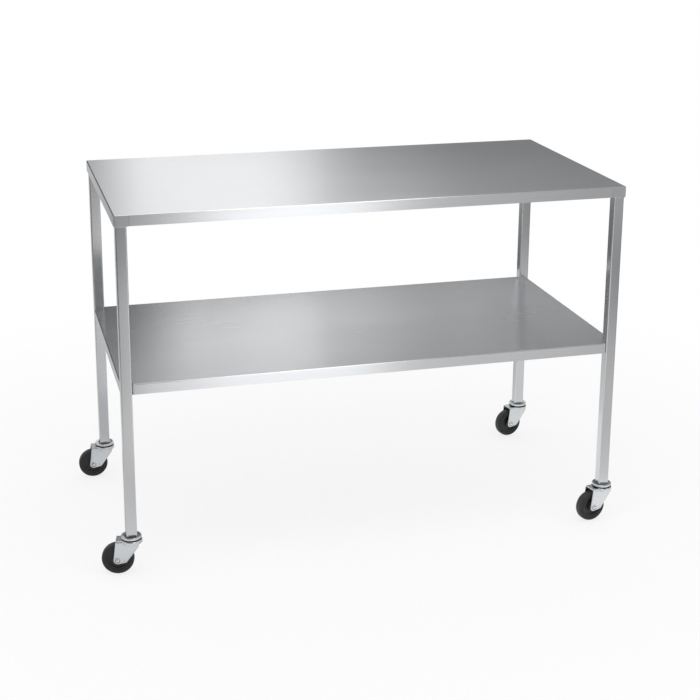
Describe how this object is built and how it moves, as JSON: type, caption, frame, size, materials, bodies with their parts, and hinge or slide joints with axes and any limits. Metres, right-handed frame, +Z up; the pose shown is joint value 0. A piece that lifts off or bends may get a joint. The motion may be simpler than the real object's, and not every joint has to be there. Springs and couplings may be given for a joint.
{
  "type": "instrument table",
  "caption": "Stainless steel instrument table with a folded flat top, a notched lower shelf, square legs and swivel casters with rubber wheels.",
  "frame": {"origin": "on the floor, under the middle of the whole footprint with the casters trailing to -X as pictured", "axes": "+X along the table's length to the right of the picture, +Y along its width away from the viewer, +Z up"},
  "size_m": [1.2826, 0.6316, 0.8636],
  "materials": {
    "brushed_steel": "satin brushed stainless sheet",
    "bright_zinc": "bright zinc plated pressings",
    "bearing_steel": "plain oiled steel",
    "black_rubber": "moulded black rubber",
    "black_core": "moulded black plastic"
  },
  "bodies": {
    "table": {"top_sheet": "brushed_steel", "top_stiffener": "brushed_steel", "shelf_sheet": "brushed_steel", "shelf_stiffener": "brushed_steel", "leg_front_left": "brushed_steel", "leg_back_left": "brushed_steel", "leg_front_right": "brushed_steel", "leg_back_right": "brushed_steel", "leg_socket_front_left": "brushed_steel", "leg_socket_back_left": "brushed_steel", "leg_socket_front_right": "brushed_steel", "leg_socket_back_right": "brushed_steel", "caster_insert_front_left": "bearing_steel", "caster_insert_back_left": "bearing_steel", "caster_insert_front_right": "bearing_steel", "caster_insert_back_right": "bearing_steel", "caster_stem_front_left": "bright_zinc", "caster_stem_back_left": "bright_zinc", "caster_stem_front_right": "bright_zinc", "caster_stem_back_right": "bright_zinc"},
    "caster_front_left": {"fork_front_left": "bright_zinc", "ball_race_front_left": "bearing_steel", "axle_bolt_front_left": "bright_zinc", "axle_nut_front_left": "bright_zinc", "axle_bush_front_left": "bearing_steel"},
    "wheel_front_left": {"wheel_hub_front_left": "black_core", "tyre_front_left": "black_rubber"},
    "caster_back_left": {"fork_back_left": "bright_zinc", "ball_race_back_left": "bearing_steel", "axle_bolt_back_left": "bright_zinc", "axle_nut_back_left": "bright_zinc", "axle_bush_back_left": "bearing_steel"},
    "wheel_back_left": {"wheel_hub_back_left": "black_core", "tyre_back_left": "black_rubber"},
    "caster_front_right": {"fork_front_right": "bright_zinc", "ball_race_front_right": "bearing_steel", "axle_bolt_front_right": "bright_zinc", "axle_nut_front_right": "bright_zinc", "axle_bush_front_right": "bearing_steel"},
    "wheel_front_right": {"wheel_hub_front_right": "black_core", "tyre_front_right": "black_rubber"},
    "caster_back_right": {"fork_back_right": "bright_zinc", "ball_race_back_right": "bearing_steel", "axle_bolt_back_right": "bright_zinc", "axle_nut_back_right": "bright_zinc", "axle_bush_back_right": "bearing_steel"},
    "wheel_back_right": {"wheel_hub_back_right": "black_core", "tyre_back_right": "black_rubber"}
  },
  "joints": [
    {"name": "swivel_front_left", "type": "hinge", "parent": "table", "child": "caster_front_left", "pos_m": [-0.5713, -0.28748, 0.08942], "axis": [0, 0, 1], "continuous": true},
    {"name": "spin_front_left", "type": "hinge", "parent": "caster_front_left", "child": "wheel_front_left", "pos_m": [-0.60271, -0.28138, 0.03792], "axis": [0.1908, 0.9816, 0], "continuous": true},
    {"name": "swivel_back_left", "type": "hinge", "parent": "table", "child": "caster_back_left", "pos_m": [-0.5713, 0.29012, 0.08942], "axis": [0, 0, 1], "continuous": true},
    {"name": "spin_back_left", "type": "hinge", "parent": "caster_back_left", "child": "wheel_back_left", "pos_m": [-0.60329, 0.29067, 0.03792], "axis": [0.0175, 0.9998, 0], "continuous": true},
    {"name": "swivel_front_right", "type": "hinge", "parent": "table", "child": "caster_front_right", "pos_m": [0.6159, -0.28748, 0.08942], "axis": [0, 0, 1], "continuous": true},
    {"name": "spin_front_right", "type": "hinge", "parent": "caster_front_right", "child": "wheel_front_right", "pos_m": [0.5846, -0.29414, 0.03792], "axis": [-0.2079, 0.9781, 0], "continuous": true},
    {"name": "swivel_back_right", "type": "hinge", "parent": "table", "child": "caster_back_right", "pos_m": [0.6159, 0.29012, 0.08942], "axis": [0, 0, 1], "continuous": true},
    {"name": "spin_back_right", "type": "hinge", "parent": "caster_back_right", "child": "wheel_back_right", "pos_m": [0.58472, 0.28292, 0.03792], "axis": [-0.225, 0.9744, 0], "continuous": true}
  ]
}
